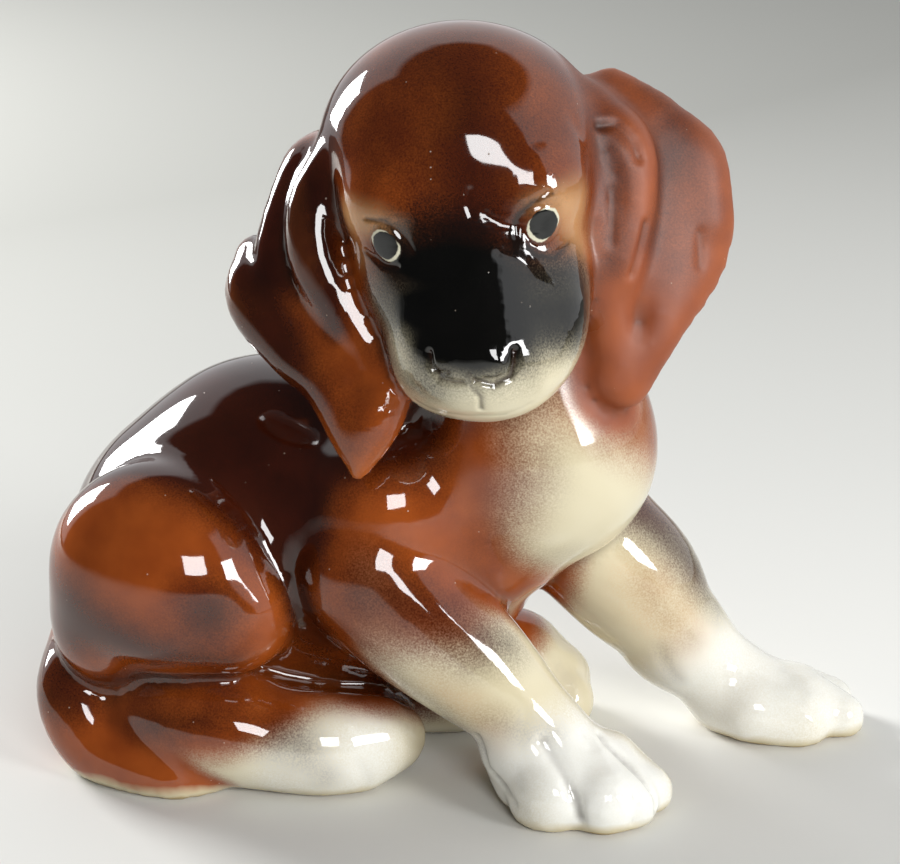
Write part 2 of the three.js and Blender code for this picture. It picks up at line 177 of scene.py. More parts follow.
def length(at, a, b):
    """Round length from a to b, tapering from one radius to the other."""
    a, b = np.asarray(a, float), np.asarray(b, float)
    along = (b - a)[:3]
    span = np.linalg.norm(along)
    offset = at - a[:3]
    forward = offset @ along / span
    aside = np.sqrt(np.maximum((offset ** 2).sum(1) - forward ** 2, 0))
    lean = min(max((a[3] - b[3]) / span, -STEEPEST), STEEPEST)
    t = np.clip((forward - aside * lean / math.sqrt(1 - lean ** 2)) / span, 0, 1)
    return np.linalg.norm(offset - t[:, None] * along, axis=1) - (a[3] + (b[3] - a[3]) * t)


def chain(at, points, k):
    return join_all([length(at, a, b) for a, b in zip(points, points[1:])], k)


def curve(points, steps=CURVE_STEPS):
    """Smooth curve through the listed points, their sizes carried along."""
    p = np.array(points, float)
    p = np.vstack([2 * p[0] - p[1], p, 2 * p[-1] - p[-2]])
    out = []
    for n in range(steps + 1):
        s = n / steps * (len(points) - 1)
        j = min(int(s), len(points) - 2)
        t = s - j
        a, b, c, d = p[j:j + 4]
        out.append(0.5 * (2 * b + (c - a) * t + (2 * a - 5 * b + 4 * c - d) * t ** 2
                          + (3 * b - a - 3 * c + d) * t ** 3))
    return np.array(out)


def roll(at, points):
    followed = curve(points)
    return np.min([length(at, a, b) for a, b in zip(followed, followed[1:])], axis=0)


def strap(at, points, faces):
    """Flat strap: oval across, thin the way it faces."""
    followed = curve(points)
    nearest = np.full(len(at), FAR)
    for a, b in zip(followed, followed[1:]):
        along = b[:3] - a[:3]
        span = np.linalg.norm(along)
        along /= span
        thin = np.array(faces) - along * (along @ faces)
        thin /= np.linalg.norm(thin)
        t = np.clip((at - a[:3]) @ along / span, 0, 1)
        off = at - a[:3] - t[:, None] * along * span
        wide, thick = a[3] + (b[3] - a[3]) * t, a[4] + (b[4] - a[4]) * t
        half = np.stack([thick, wide, thick], 1)
        q = np.stack([off @ along, off @ np.cross(along, thin), off @ thin], 1) / half
        scaled = np.linalg.norm(q, axis=1)
        slope = np.maximum(np.linalg.norm(q / half, axis=1), 1e-9)
        nearest = np.minimum(nearest, scaled * (scaled - 1) / slope)
    return nearest


def box_of(*point_lists):
    """Box round the masses, with room for their blends."""
    rows = np.array([p[:4] for points in point_lists for p in points], float)
    room = rows[:, 3:4] + BLEND_ROOM
    return (rows[:, :3] - room).min(0), (rows[:, :3] + room).max(0)


def add(d, at, k, box, mass):
    """Joins a mass to the skin distance d, worked out only for the points in its box."""
    inside = np.flatnonzero(((at > box[0]) & (at < box[1])).all(1))
    if len(inside):
        d[inside] = join(d[inside], mass(at[inside]), k)
    return d


def foot(at, sole, toes):
    spread = join_all([chain(at, toe, 1) for toe in toes], TOE_GAP)
    return join(roll(at, sole), spread, 5)


def round_of(*eggs):
    """Balls that hold the eggs."""
    return [[*shape["centre"], max(shape["half"])] for shape in eggs]


TRUNK_BOX = box_of(BACK, BREASTBONE, BELLY, NECK, round_of(CHEST, SEAT))
HAUNCH_BOX = box_of(KNEE, round_of(THIGH, HOCK))
HIND_BOX = box_of(HIND_FOOT, *HIND_TOES)
FAR_THIGH_BOX = box_of(round_of(FAR_THIGH))
FAR_HIND_BOX = box_of(FAR_HIND_FOOT, *FAR_HIND_TOES)
TAIL_BOX = box_of(TAIL)
NEAR_BOX = box_of(NEAR_ARM, NEAR_PALM, *NEAR_TOES)
FAR_BOX = box_of(FAR_ARM, FAR_PALM, *FAR_TOES)
HEAD_BOX = box_of(CHOPS, BROWS, round_of(SKULL, FACE, MUZZLE))
BACKING_BOX = box_of(*EAR_BACKINGS)
FOLDED_BOX = box_of(*FOLDED_EAR)
BROAD_BOX = box_of(BROAD_EAR, BROAD_EAR_RIM, *BROAD_EAR_ROLLS)


# The last number of each join or chain is over how many mm its masses flow together
def trunk(at):
    d = join(chain(at, BACK, 18), egg(at, **CHEST), 14)
    d = join(d, chain(at, BREASTBONE, 6), 8)
    d = join(d, chain(at, BELLY, 6), 8)
    d = join(d, egg(at, **SEAT), 8)
    d = join(d, chain(at, NECK, 6), 12)
    return join(d, ball(at, SHOULDER), 14)


def haunch(at):
    return join(join(egg(at, **THIGH), egg(at, **HOCK), 10), chain(at, KNEE, 8), 12)


def near_leg(at):
    paw = foot(at, NEAR_PALM, NEAR_TOES)
    return join(roll(at, NEAR_ARM), paw, 5)


def far_leg(at):
    paw = foot(at, FAR_PALM, FAR_TOES)
    return join(roll(at, FAR_ARM), paw, 5)


def head(at):
    chops = join_all([ball(at, mass) for mass in CHOPS], 4)
    snout = join(egg(at, **MUZZLE), chops, 8)
    brows = join_all([ball(at, mass) for mass in BROWS], 3)
    return join(join(join(egg(at, **SKULL), egg(at, **FACE), 12), snout, 12), brows, 8)


def broad_ear(at):
    d = join_all([roll(at, r) for r in BROAD_EAR_ROLLS], 3)
    d = join(d, strap(at, BROAD_EAR, BROAD_EAR_FACES), 4.5)
    return join(d, roll(at, BROAD_EAR_RIM), 5)


def puppy(at):
    """Signed distance to the puppy's skin in mm, below zero inside."""
    d = np.full(len(at), FAR)
    d = add(d, at, 1, TRUNK_BOX, trunk)
    d = add(d, at, 5, HAUNCH_BOX, haunch)
    d = add(d, at, 6, HIND_BOX, lambda p: foot(p, HIND_FOOT, HIND_TOES))
    d = add(d, at, 10, FAR_THIGH_BOX, lambda p: egg(p, **FAR_THIGH))
    d = add(d, at, 6, FAR_HIND_BOX, lambda p: foot(p, FAR_HIND_FOOT, FAR_HIND_TOES))
    d = add(d, at, 4, TAIL_BOX, lambda p: roll(p, TAIL))
    d = add(d, at, ARMPIT, NEAR_BOX, near_leg)
    d = add(d, at, 6, FAR_BOX, far_leg)
    d = add(d, at, 6, HEAD_BOX, head)
    for backing in EAR_BACKINGS:
        d = add(d, at, 6, BACKING_BOX, lambda p: chain(p, backing, 6))
    d = add(d, at, 4.5, FOLDED_BOX, lambda p: join_all([roll(p, r) for r in FOLDED_EAR], 4))
    d = add(d, at, 4.5, BROAD_BOX, broad_ear)
    return -join(-d, at[:, 2], BASE_EDGE)


# The skin: each grid cube gets one mesh corner per sheet of skin in it
CORNERS = [(n & 1, n >> 1 & 1, n >> 2) for n in range(8)]
EDGES = [(n, n | 1 << axis, axis) for n in range(8) for axis in range(3) if not n >> axis & 1]
SIDES = [[e for e, (a, b, _) in enumerate(EDGES) if CORNERS[a][axis] == side == CORNERS[b][axis]]
         for axis in range(3) for side in range(2)]


def sheets_of(signs):
    """Which sheet of skin each cube edge belongs to, for one pattern of corners inside."""
    within = [signs >> n & 1 for n in range(8)]
    crossed = [within[a] != within[b] for a, b, _ in EDGES]
    sheet = list(range(12))
    for side in SIDES:
        cut = [e for e in side if crossed[e]]
        for m in cut:
            for n in cut:
                a, b = ((EDGES[e][0] if within[EDGES[e][0]] else EDGES[e][1]) for e in (m, n))
                if len(cut) == 2 or a == b:
                    sheet = [sheet[n] if s == sheet[m] else s for s in sheet]
    kinds = sorted({sheet[e] for e in range(12) if crossed[e]})
    return [kinds.index(sheet[e]) if crossed[e] else -1 for e in range(12)]


def in_parts(field, at, many=150000):
    """The field at a great many points, some at a time to spare memory."""
    return np.concatenate([field(at[n:n + many]) for n in range(0, len(at), many)])


def skin(field, reach, cell, coarse=4):
    """Corners and four-sided facets of the surface where the field is zero."""
    low, high = (np.array(v, float) for v in reach)
    blocks = np.ceil((high - low) / (cell * coarse)).astype(int)
    axes = [low[i] + cell * coarse * np.arange(blocks[i] + 1) for i in range(3)]
    grid = np.stack(np.meshgrid(*axes, indexing="ij"), -1).reshape(-1, 3)
    value = in_parts(field, grid).reshape(blocks + 1)
    for axis in range(3):            # filled in between, then worked out exactly near the skin
        v = np.moveaxis(value, axis, 0)
        steps = np.arange(coarse)[:, None, None] / coarse
        filled = (v[:-1, None] * (1 - steps) + v[1:, None] * steps).reshape(-1, *v.shape[1:])
        value = np.moveaxis(np.concatenate([filled, v[-1:]]), 0, axis)
    near = np.argwhere(np.abs(value) < cell * coarse)
    value[tuple(near.T)] = in_parts(field, low + near * cell)
    within = value < 0
    count = np.array(value.shape) - 1
    signs = np.zeros(count, int)
    part = [slice(None, -1), slice(1, None)]
    for n, (a, b, c) in enumerate(CORNERS):
        signs |= within[part[a], part[b], part[c]].astype(int) << n
    table = np.array([sheets_of(s) for s in range(256)])
    cubes = np.argwhere((signs > 0) & (signs < 255))
    sheet = table[signs[tuple(cubes.T)]]
    first = np.concatenate([[0], np.cumsum(sheet.max(1) + 1)])
    number = np.full(count, -1)
    number[tuple(cubes.T)] = np.arange(len(cubes))
    total, hits = np.zeros((first[-1], 3)), np.zeros(first[-1])
    for e, (a, b, _) in enumerate(EDGES):
        rows = np.flatnonzero(sheet[:, e] >= 0)
        at_a, at_b = (value[tuple((cubes[rows] + CORNERS[n]).T)] for n in (a, b))
        t = (at_a / (at_a - at_b))[:, None]
        place = cubes[rows] + CORNERS[a] + (np.array(CORNERS[b]) - CORNERS[a]) * t
        corner = first[rows] + sheet[rows, e]
        np.add.at(total, corner, place)
        np.add.at(hits, corner, 1)
    points = low + cell * total / hits[:, None]
    quads = []
    for axis in range(3):
        u, v = (axis + 1) % 3, (axis + 2) % 3
        ahead = [slice(1, -1)] * 3
        ahead[axis] = slice(2, None)
        edges = np.argwhere(within[1:-1, 1:-1, 1:-1] != within[tuple(ahead)]) + 1
        facet = []
        for du, dv in ((1, 1), (0, 1), (0, 0), (1, 0)):
            cube = edges.copy()
            cube[:, u] -= du
            cube[:, v] -= dv
            corner = (du << u) + (dv << v)
            e = EDGES.index((corner, corner | 1 << axis, axis))
            row = number[tuple(cube.T)]
            facet.append(first[row] + sheet[row, e])
        facet = np.stack(facet, 1)
        leaving = within[tuple(edges.T)]
        quads.append(np.where(leaving[:, None], facet, facet[:, ::-1]))
    return points, np.concatenate(quads)


def slope_of(field, at, feel):
    steps = np.eye(3) * feel
    return np.stack([in_parts(field, at + s) - in_parts(field, at - s) for s in steps], 1) / (2 * feel)


def settle(field, at, cell, rounds, feel):
    """Slides mesh corners straight onto the skin."""
    for _ in range(rounds):
        slope = slope_of(field, at, feel)
        steep = np.maximum((slope ** 2).sum(1), LEAST_SLOPE)
        step = in_parts(field, at)[:, None] * slope / steep[:, None]
        far = np.maximum(np.linalg.norm(step, axis=1), 1e-9)
        at = at - step * np.minimum(1, LONGEST_SLIDE * cell / far)[:, None]
    return at


def even(at, pairs, share=0.5):
    """Moves mesh corners towards the middle of their neighbours."""
    total, hits = np.zeros_like(at), np.zeros(len(at))
    for a, b in ((0, 1), (1, 0)):
        np.add.at(total, pairs[:, a], at[pairs[:, b]])
        np.add.at(hits, pairs[:, a], 1)
    return at + share * (total / np.maximum(hits, 1)[:, None] - at)


def faired(at, pairs, share, back):
    """Smoothed, then drawn back so that nothing shrinks."""
    return even(even(at, pairs, share), pairs, -back)


REACH_FOR_SKIN = 4.0             # how far a path may lie off the skin, mm


def laid(path, skin_points):
    """The path with its points brought onto the nearest points of the skin."""
    rows = np.array(path, float)
    for row in rows:
        near = skin_points[(np.abs(skin_points - row[:3]) < REACH_FOR_SKIN).all(1)]
        if len(near):
            row[:3] = near[np.argmin(((near - row[:3]) ** 2).sum(1))]
    return rows.tolist()


def nearness(at, path):
    """One on the path [x, y, z, width], falling off to nothing a few widths away."""
    box = box_of(path)
    rows = np.flatnonzero(((at > box[0]) & (at < box[1])).all(1))
    close = np.zeros(len(at))
    if len(rows):
        p, best = at[rows], np.full(len(rows), FAR)
        for a, b in zip(np.array(path, float), np.array(path[1:], float)):
            along = (b - a)[:3]
            t = np.clip((p - a[:3]) @ along / (along @ along), 0, 1)
            away = np.linalg.norm(p - a[:3] - t[:, None] * along, axis=1)
            best = np.minimum(best, away / (a[3] + (b[3] - a[3]) * t))
        close[rows] = np.exp(-best ** 2)
    return close


# Carved into the master model by hand: [path, depth in mm], a path being [x, y, z, width]; a
# depth below zero stands out
CARVED = [
    # upper lids, the folds at the inner corner and on the brow, and the lines under the eyes
    ([[-17, -30, 130, 0.5], [-14, -31.5, 129.8, 0.7], [-11, -32.5, 129, 0.7], [-9, -33, 127, 0.7],
      [-7.5, -34, 124.5, 0.8]], 0.4),
    ([[-17, -27.5, 122.5, 0.6], [-13.5, -30.5, 121, 0.8], [-10.5, -33, 121, 0.7]], 0.4),
    ([[19, -31.5, 136, 0.6], [16, -32.5, 134, 0.9], [14.5, -33, 132.5, 0.9], [13, -33.5, 130.5, 0.8],
      [13, -34, 128, 0.7]], 0.3),
    ([[7, -33.5, 132, 0.8], [10, -33.5, 130, 1.0], [13, -33.5, 129.5, 0.8]], 0.16),
    ([[16, -34, 126, 0.7], [17.5, -33.5, 125, 0.8], [20.5, -31.5, 123.5, 0.8], [23.5, -28.5, 124, 0.6]],
     0.24),
    ([[10, -36, 125.5, 1.2], [14.5, -35.5, 123, 1.6], [17, -36, 120, 1.6], [20, -35.5, 118, 1.2]], 0.22),
    ([[4, -32, 136.5, 0.5], [3.5, -32.5, 133.5, 0.6], [4, -33.5, 131.5, 0.5]], 0.12),
    # the nose: round the wings, the nostrils, the furrow below and the mouth
    ([[-4.5, -43.5, 107, 0.7], [-4, -44, 104.5, 1.0], [-2.5, -45, 102, 1.0], [0.5, -46, 101.5, 0.9],
      [2.5, -46.5, 102, 0.7]], 0.9),
    ([[-3.5, -44.5, 103.5, 0.5], [-2, -45.5, 103.2, 0.7], [-0.5, -46, 103.5, 0.5]], 0.7),
    ([[5, -47, 102.2, 0.7], [8.5, -47, 101.5, 0.9], [11.5, -46.5, 103, 1.0], [12.5, -46, 105.5, 1.0],
      [12.5, -45.5, 108, 0.7]], 0.9),
    ([[6.5, -47, 103, 0.5], [8.5, -47, 102.8, 0.7], [10, -47, 103.5, 0.5]], 0.5),
    ([[4, -47, 103.5, 0.7], [4.5, -47, 101, 0.9], [6, -46, 98.5, 0.8], [6, -44.5, 96, 0.6]], 0.5),
    ([[-7.5, -35.5, 94, 0.7], [-4, -37.5, 93, 1.0], [1, -41.5, 93.5, 1.0], [6, -43.5, 94, 0.9],
      [11, -42.5, 94, 1.0], [15.5, -42, 96, 0.7]], 0.12),
    ([[1, -46, 107, 3.0], [7.5, -47, 107, 3.0]], -0.5),
    ([[-2.5, -45.5, 105, 1.6], [-2, -45.5, 105.5, 1.6]], -0.5),
    ([[10, -47, 105.5, 1.6], [9.5, -47, 106, 1.6]], -0.5),
    # the flattened right side of the muzzle beside its ridge
    ([[6, -37.5, 124, 3.0], [7, -42, 116, 4.0], [8.5, -46, 110, 4.0]], -0.5),
    ([[16, -37, 121, 4.5], [19, -39.5, 115, 5.5], [20, -41, 110, 4.5]], 0.9),
    # pocket, streak and dents of the broad ear, and two dents beside it
    ([[29.5, -12.5, 144.5, 0.9], [33, -13, 145, 1.4], [36.5, -14, 141.5, 1.5], [37.5, -15.5, 138.5, 1.0]],
     1.0),
    ([[32.5, -17, 132.5, 0.9], [32.5, -19.5, 122.5, 0.9]], 0.4),
    ([[39.5, -18, 126, 0.8], [38, -19, 120, 1.2], [36.5, -20, 115.5, 0.8]], 0.9),
    ([[51, -11.5, 121.5, 1.2], [51, -13, 115.5, 1.2]], 0.5),
    ([[17, -27, 145.5, 1.6], [17.5, -27, 145.5, 1.6]], 0.15),
    ([[24, -18.5, 146.5, 1.8], [25, -18.5, 144, 1.8]], 0.2),
    # between the toes of the near paw
    ([[5.5, -28, 17.5, 0.8], [8.5, -27, 10, 1.0], [12, -30.5, 7.5, 1.0], [13.5, -35.5, 5.5, 0.8]], 0.6),
    ([[19.5, -31, 17.5, 2.0], [22, -34, 15, 2.2], [24, -36.5, 12, 1.6], [26, -39, 8, 1.4],
      [27, -40, 4, 1.2]], 0.9),
    ([[31.5, -26, 17, 1.0], [33, -27.5, 16, 1.3], [37.5, -30, 12, 1.2], [41.5, -34, 8.5, 1.1],
      [43, -34.5, 4.5, 1.0]], 0.8),
    ([[37, -37, 8, 1.0], [38, -39, 3, 1.2]], 0.5),
    ([[28.5, -29.5, 18.5, 2.0], [30, -31, 17.5, 2.0]], 0.4),
    # and of the far paw, with the fold of its wrist
    ([[74, 13, 15, 1.0], [80, 13, 13.5, 1.3], [86.5, 17, 9, 1.2]], 0.5),
    ([[76, 4.5, 11.5, 1.0], [80, 3.5, 10, 1.2], [84, 3.5, 6, 1.2]], 0.5),
    ([[45.5, 4, 22.5, 1.2], [47.5, 4.5, 19, 1.6], [49, 5, 15.5, 1.2]], 0.5),
    # toes of the hind feet
    ([[-19.5, -25, 9, 1.2], [-18, -24, 5, 1.4], [-18, -22, 2, 1.4]], 0.5),
    ([[20, 9, 21, 1.0], [21, 8, 17, 1.2], [22, 6.5, 12, 1.0]], 0.5),
    ([[24, 9.5, 18.5, 1.0], [25.5, 8, 14, 1.2], [26, 7, 9, 1.0]], 0.5),
]
# Each eye stands out as a low dome in a shallow ring; its pupil is painted over a white that shows
# on the two sides that lean gives
EYES = [dict(centre=[-13, -31.5, 125], dome=3.9, pupil=2.9, lean=[0.7, 0, -0.6]),
        dict(centre=[18.5, -32, 129.5], dome=4.1, pupil=3.05, lean=[-0.75, 0, -0.65])]
EYE_STANDS, SOCKET, SOCKET_WIDTH = 0.35, 0.16, 0.7
WHITE_RING = -0.25               # the white is this much wider than the pupil


# The colours were sprayed on the cream body before the glaze. A stroke is [path, fade, cover], its
# path [x, y, z, reach] in the casting's own millimetres
def sprayed(at, strokes):
    """How densely one colour lies after its strokes."""
    bare = np.ones(len(at))
    for path, fade, cover in strokes:
        low, high = box_of(path)
        rows = np.flatnonzero(((at > low - fade) & (at < high + fade)).all(1))
        if not len(rows):
            continue
        spans = zip(path, path[1:]) if len(path) > 1 else [(path[0], None)]
        near = [length(at[rows], a, b) if b else ball(at[rows], np.array(a, float)) for a, b in spans]
        t = np.clip(0.5 - np.min(near, axis=0) / fade, 0, 1)
        bare[rows] *= 1 - cover * t * t * (3 - 2 * t)
    return 1 - bare


def along(path, more):
    """The path of a roll, reaching more mm beyond it."""
    return [[*point[:3], point[3] + more] for point in path]


BROWN = [
    # the head and both ears
    ([[2, 4, 140, 46]], 10, 1),
    (along(FOLDED_EAR[0], 5), 4, 1), (along(FOLDED_EAR[1], 5), 4, 1), (along(FOLDED_EAR[2], 5), 4, 1),
    (along(BROAD_EAR, 4), 4, 1), (along(BROAD_EAR_RIM, 5), 4, 1),
    (along(BROAD_EAR_ROLLS[0], 5), 4, 1), (along(BROAD_EAR_ROLLS[1], 5), 4, 1),
    # back, haunch, neck, chest and shoulders
    (along(BACK, 9), 8, 1),
    ([[-56, -12, 48, 40]], 8, 1),
    ([[-8, 2, 88, 26]], 12, 1),
    ([[-16, -14, 72, 20], [-6, -20, 62, 14], [-4, -21, 52, 12]], 14, 1),
    ([[1, -20, 86, 12], [4, -22, 76, 12], [3, -24, 62, 9.5]], 20, 1),
    ([[14, -18, 92, 8], [24, -18, 91, 8]], 16, 0.7),
    ([[35, -16, 84, 7], [43, -6, 78, 9]], 14, 0.9),
    ([[-18, -22, 48, 12], [-8, -27, 45, 8], [2, -28, 42, 5]], 12, 0.95),
    # near hind leg and tail, and the belly above them
    ([[-68, -6, 14, 18], [-50, -14, 20, 12], [-38, -16, 25, 7]], 12, 1),
    ([[-34, -14, 23, 7], [-22, -14, 22, 6], [-15, -14, 21, 4]], 9, 0.85),
    (along(TAIL, 4), 4, 1),
    ([[-26, -2, 34, 14], [-18, 0, 26, 12]], 14, 0.9),
    # tops of the far front leg and the far hind foot, and the edge of the chest
    ([[32, 12, 58, 9], [44, 16, 46, 6]], 9, 0.9),
    ([[42, 2, 88, 9], [46, 6, 74, 5]], 9, 1),
    ([[10, 17, 25, 6], [17, 16, 21, 4]], 8, 0.8),
    # the far side
    ([[-50, 38, 24, 34], [-20, 38, 24, 30]], 8, 1),
    ([[-20, 38, 54, 30], [0, 34, 54, 26], [16, 26, 58, 20]], 12, 1),
    ([[14, 16, 100, 20], [28, 16, 86, 17], [34, 14, 70, 12]], 12, 1),
    ([[32, 2, 98, 10]], 8, 1),
    ([[-30, 0, 103, 10]], 8, 1),
]
PALE = [
    # tan round the eyes, then a breath of it on the legs
    ([[-21, -26, 129, 4], [-15, -31, 129.5, 3], [-10, -33, 128.5, 2]], 6, 0.72),
    ([[-20, -26, 121, 3]], 6, 0.6),
    ([[15.5, -33, 133.5, 2], [21, -31, 134, 3]], 5, 0.62),
    ([[25, -28, 132, 5], [26.5, -26, 124, 4]], 8, 0.72),
    ([[44, 2, 40, 8], [50, 4, 28, 6]], 16, 0.35),
    ([[-4, -31, 30, 4], [8, -32, 20, 4]], 10, 0.3),
]
DARK = [
    # back, neck, flank and the rim of the haunch
    ([[-58, 14, 52, 34], [-39, 13, 60, 36], [-14, 8, 70, 30]], 9, 0.97),
    ([[-14, 8, 66, 27], [0, 2, 90, 20]], 12, 0.95),
    ([[-40, -12, 76, 9], [-33, -16, 68, 8], [-29, -18, 56, 7], [-29, -18, 44, 7],
      [-27, -12, 36, 7]], 8, 0.92),
    ([[-72, -6, 70, 3], [-60, -10, 75, 5], [-50, -12, 76, 6]], 6, 0.85),
    # folded ear in dark brown, and painted shade on the side of the head beside it and in the groove
    # between ear and face
    ([[-40, -4, 116, 13], [-43, -9, 107, 12], [-37, -14, 99, 10], [-30, -20, 91, 6]], 9, 0.93),
    ([[-33, -6, 130, 10], [-35, -11, 118, 10]], 9, 0.93),
    ([[-24, -10, 150, 7], [-28, -12, 138, 9], [-29, -15, 126, 8], [-27, -20, 114, 5]], 10, 0.92),
    ([[-26.5, -17, 131, 4], [-25.5, -21, 117, 4], [-24, -24, 106, 3.5]], 5, 0.95),
    ([[-36, -18, 100, 8], [-26, -26, 90, 7], [-18, -29, 84, 5]], 12, 0.55),
    # crown and the streak down the forehead
    ([[2, -10, 150, 32]], 20, 0.58),
    ([[-5, -14, 160, 7]], 16, 0.4),
    ([[4, -24, 155, 5], [4, -29, 146, 8], [4, -33, 136, 9], [3, -35, 128, 11]], 20, 0.93),
    # haunch, tail and near hind leg
    ([[-49, -31, 46, 8]], 14, 0.93),
    ([[-77, -18, 41, 9], [-68, -25, 38, 7], [-56, -28, 35, 5], [-46, -26, 34, 3]], 14, 0.92),
    ([[-82, -10, 50, 5], [-84, -8, 36, 8]], 12, 0.7),
    ([[-86, -4, 22, 10], [-80, -10, 18, 6]], 9, 0.85),
    ([[-72, -13, 24, 5], [-60, -16, 26, 4], [-48, -20, 27, 3]], 8, 0.85),
    ([[-68, -18, 16, 3], [-60, -21, 17, 4], [-52, -24, 19, 3]], 9, 0.8),
    ([[-44, -20, 26, 3], [-38, -18, 25, 3]], 7, 0.4),
    ([[-31, -12, 24, 5]], 9, 0.5),
    ([[-46, -24, 20, 4], [-38, -25, 18, 5], [-31, -26, 14, 3]], 12, 0.55),
    ([[-26, -28, 7, 2.5]], 8, 0.35),
    # painted shade under the belly and in the fold of the far wrist, and dark spray on the near front leg
    ([[-26, -4, 32, 9], [-18, 0, 22, 10], [-6, 2, 16, 8]], 10, 0.75),
    ([[-16, -28, 52, 8], [-4, -31, 48, 5], [5, -31, 42, 5], [12, -27, 38, 4]], 12, 0.72),
    ([[-18, -27, 44, 5], [-12, -30, 41, 5], [2, -32, 37, 4]], 14, 0.36),
    ([[-25, -24, 40, 4], [-15, -26, 30, 4], [-2, -28, 21, 4], [4, -27, 15, 3]], 10, 0.42),
    ([[8, -31, 23, 3], [16, -32, 20, 3], [22, -31, 20, 2]], 8, 0.25),
    ([[46, 3, 22, 2], [48, 4, 16, 2]], 8, 0.3),
    # chest
    ([[12, -23, 84, 6], [15, -25, 74, 6], [11, -24, 64, 5], [7, -22, 55, 4]], 18, 0.32),
    ([[22, -20, 92, 4], [14, -20, 88, 4]], 10, 0.45),
    # far front leg and the lower edge of the chest
    ([[36, 6, 62, 8], [46, 10, 50, 7.5], [54, 11, 40, 6], [60, 12, 32, 3]], 12, 0.85),
    ([[24, 2, 54, 6]], 10, 0.5),
    ([[42, 0, 40, 2], [52, 2, 26, 2]], 10, 0.3),
    ([[24, -20, 50, 5], [16, -22, 52, 4]], 12, 0.25),
    # folds of the broad ear
    ([[40, 3, 149, 2], [44, 0, 145, 3.5], [45, -5, 139, 4], [43.5, -11, 131, 3.5],
      [41, -15, 123, 3]], 8, 0.62),
    ([[47, -4, 138, 5], [49, -8, 128, 6], [46, -14, 117, 5]], 14, 0.42),
    ([[30, -13, 144, 2.5], [33, -17, 138, 3], [33, -19, 130, 3], [32, -20, 118, 2.5]], 7, 0.66),
    # edge of the chest, far hind foot, under the eyes and the far side
    ([[47, 2, 86, 4], [50, 6, 72, 3]], 8, 0.9),
    ([[8, 15, 27, 3]], 6, 0.6),
    ([[13, -32, 131, 3], [15, -33, 121, 3], [25, -30, 119, 3]], 8, 0.6),
    ([[-44, 44, 34, 24], [-20, 42, 44, 24], [0, 36, 56, 20]], 18, 0.8),
    ([[10, 20, 104, 16], [24, 20, 88, 12]], 16, 0.75),
]
BLACK = [
    # the mask: bridge, muzzle, its two sides, the nose and the corner of an eye
    ([[-12, -30, 127, 3], [-4, -34, 130, 4], [6, -34, 130, 3]], 9, 0.8),
    ([[-10, -33, 122, 5], [0, -37, 122, 8], [6, -38, 121, 8]], 8, 1),
    ([[-9, -37, 114, 6], [-1, -42, 115, 9], [7, -43, 115, 8]], 8, 1),
    ([[-4, -42, 108, 6], [5, -47, 108.5, 7], [11, -46, 109, 6]], 8, 1),
    ([[14, -39, 118, 9], [24, -33, 116, 9]], 12, 0.95),
    ([[14, -43, 112, 6.5], [20, -40, 111.5, 6.5], [25, -36, 111, 6]], 11, 0.92),
    ([[28, -28, 113, 5], [28, -25, 107, 3.5]], 9, 0.55),
    ([[-13, -31, 118, 5.5], [-13, -29, 112, 6], [-13, -28, 104, 4]], 11, 0.85),
    ([[-13, -35, 102, 4], [-9, -39, 99, 3.5], [-2, -43, 100, 2]], 10, 0.75),
    ([[4, -47, 99.5, 1.5], [16, -45, 101, 2]], 8, 0.3),
    ([[13, -34, 128, 1.4], [13.5, -34, 125, 2], [17, -34, 125, 0.6]], 3, 0.85),
]
# thin brush lines at the lids, the nostrils and the mouth, laid onto the skin; they also paint the shade
# in those carved grooves
LINES = [
    ([[-17, -29, 129.5, 0.2], [-13, -32, 129.6, 0.3], [-10, -33, 127.5, 0.4],
      [-8.5, -34, 124, 0.6]], 1.1, 0.9),
    ([[-18, -27, 122, 0.3], [-14.5, -30, 120.6, 0.5], [-10.5, -33, 120.6, 0.6]], 1.3, 0.8),
    ([[20, -31, 135.6, 0.2], [16, -32.5, 134, 0.4], [13.6, -33, 131.6, 0.5],
      [12.4, -34, 128.6, 0.9]], 1.2, 0.95),
    ([[12.4, -34, 128.6, 0.9], [13.6, -34.5, 126, 1.0], [16.5, -34.5, 124, 0.7], [20.5, -32, 122.6, 0.5],
      [24, -28.5, 124.4, 0.2]], 1.3, 0.9),
    ([[-4, -44.5, 104.5, 0.4], [-2.5, -45, 102.4, 0.5], [0, -46, 101.8, 0.4]], 1.3, 0.75),
    ([[-3, -45, 103.8, 0.3], [-1, -46, 104, 0.3]], 1.0, 0.9),
    ([[5, -47, 102.2, 0.3], [8.5, -47, 101.5, 0.5], [12, -46.5, 103.4, 0.5],
      [12.6, -46, 105.8, 0.3]], 1.3, 0.85),
    ([[7, -47, 103.2, 0.3], [9.5, -47, 103.6, 0.3]], 1.0, 0.9),
    ([[3.6, -47, 103.6, 0.6], [4.4, -47, 101, 0.4], [6, -46, 98.5, 0.2], [6.2, -44.5, 96, 0.2]], 1.2, 0.6),
    ([[-4, -37.5, 93, 0.2], [1, -41.5, 93.5, 0.3], [6, -43.5, 94, 0.4], [11, -42.5, 94, 0.2]], 1.0, 0.25),
]
# a whiter cream on the paws and the toes
WHITE = [
    ([[60, 10, 10, 18], [86, 14, 4, 12]], 14, 0.8),
    ([[16, -22, 9, 15], [34, -34, 6, 15]], 10, 0.92),
    ([[-34, -20, 8, 8], [-20, -20, 9, 10]], 12, 0.8),
]
